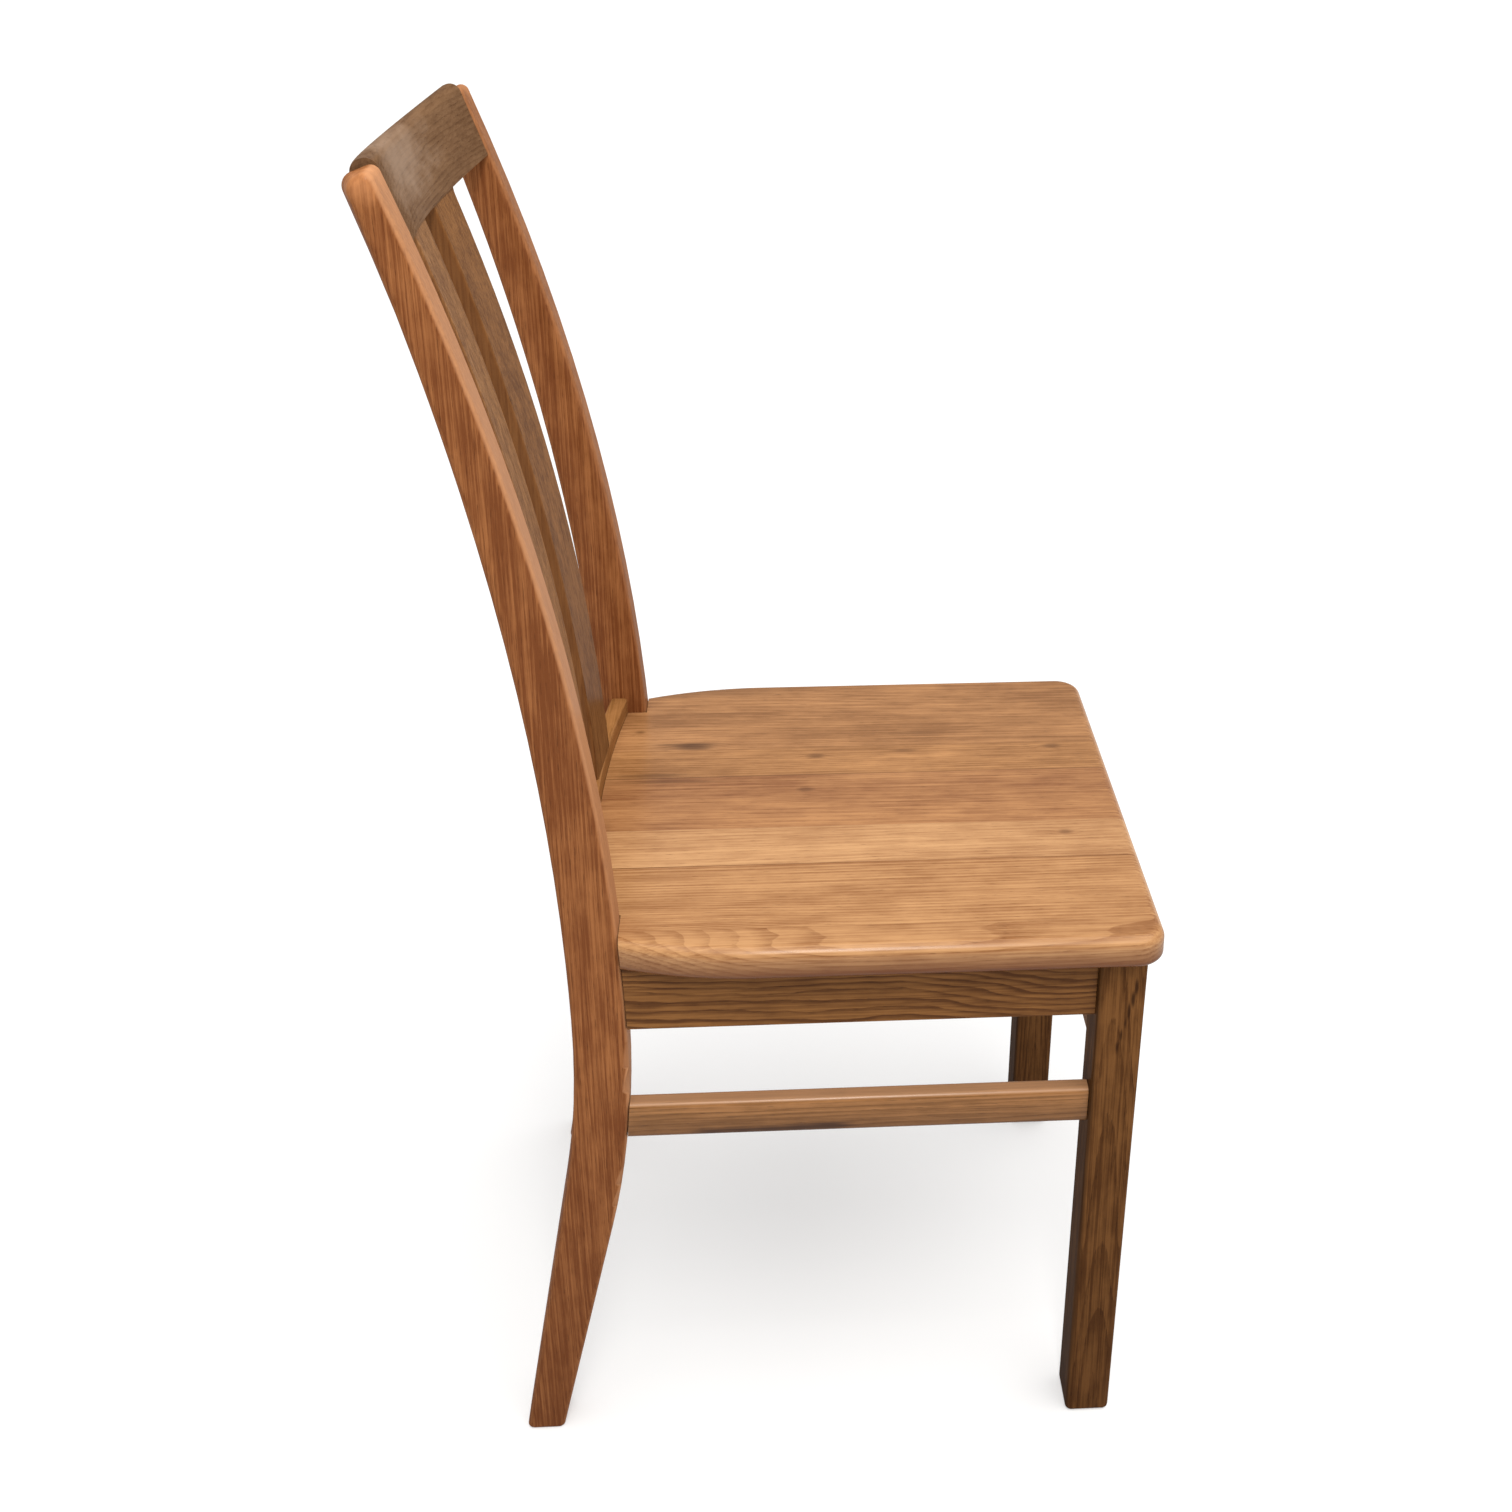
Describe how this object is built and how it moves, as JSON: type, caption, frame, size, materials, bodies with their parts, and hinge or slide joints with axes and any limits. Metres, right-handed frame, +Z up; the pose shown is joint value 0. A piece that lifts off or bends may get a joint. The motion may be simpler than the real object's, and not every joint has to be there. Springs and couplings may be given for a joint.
{
  "type": "dining chair",
  "caption": "Wooden side chair with raked curved back posts, bowed crest rail, flat vertical slats, a solid seat glued from boards, and low side stretchers.",
  "frame": {"origin": "on the floor, under the centre of the chair's bounding box", "axes": "+Z up, -Y the way the sitter faces, +X to the sitter's left; the chair is symmetric about X = 0"},
  "size_m": [0.454, 0.538, 0.9894],
  "materials": {
    "back_slat_left": "solid oak, satin clear lacquer",
    "back_slat_right": "solid oak, satin clear lacquer",
    "beech_dowel": "bare fluted beech",
    "corner_block": "sawn oak, unfinished",
    "crest_rail": "solid oak, satin clear lacquer",
    "front_leg_left": "solid oak, satin clear lacquer",
    "front_leg_right": "solid oak, satin clear lacquer",
    "front_rail": "solid oak, satin clear lacquer",
    "lower_back_rail": "solid oak, satin clear lacquer",
    "rear_post_left": "solid oak, satin clear lacquer",
    "rear_post_right": "solid oak, satin clear lacquer",
    "rear_rail": "solid oak, satin clear lacquer",
    "seat_board_1": "flat-sawn oak board, satin clear lacquer",
    "seat_board_2": "flat-sawn oak board, satin clear lacquer",
    "seat_board_3": "flat-sawn oak board, satin clear lacquer",
    "seat_board_4": "flat-sawn oak board, satin clear lacquer",
    "seat_board_5": "flat-sawn oak board, satin clear lacquer",
    "seat_board_6": "flat-sawn oak board, satin clear lacquer",
    "side_rail_left": "solid oak, satin clear lacquer",
    "side_rail_right": "solid oak, satin clear lacquer",
    "side_stretcher_left": "solid oak, satin clear lacquer",
    "side_stretcher_right": "solid oak, satin clear lacquer",
    "zinc_screw": "bright zinc plate"
  },
  "bodies": {
    "root": {"back_dowels": "beech_dowel", "back_slat_left": "back_slat_left", "back_slat_right": "back_slat_right", "corner_block_front_left": "corner_block", "corner_block_front_right": "corner_block", "corner_block_rear_left": "corner_block", "corner_block_rear_right": "corner_block", "corner_block_screws": "zinc_screw", "crest_rail": "crest_rail", "front_leg_left": "front_leg_left", "front_leg_right": "front_leg_right", "front_rail": "front_rail", "lower_back_rail": "lower_back_rail", "rail_dowels": "beech_dowel", "rear_post_left": "rear_post_left", "rear_post_right": "rear_post_right", "rear_rail": "rear_rail", "seat_board_1": "seat_board_1", "seat_board_2": "seat_board_2", "seat_board_3": "seat_board_3", "seat_board_4": "seat_board_4", "seat_board_5": "seat_board_5", "seat_board_6": "seat_board_6", "seat_screws": "zinc_screw", "side_rail_left": "side_rail_left", "side_rail_right": "side_rail_right", "side_stretcher_left": "side_stretcher_left", "side_stretcher_right": "side_stretcher_right", "stretcher_dowels": "beech_dowel"}
  },
  "joints": []
}
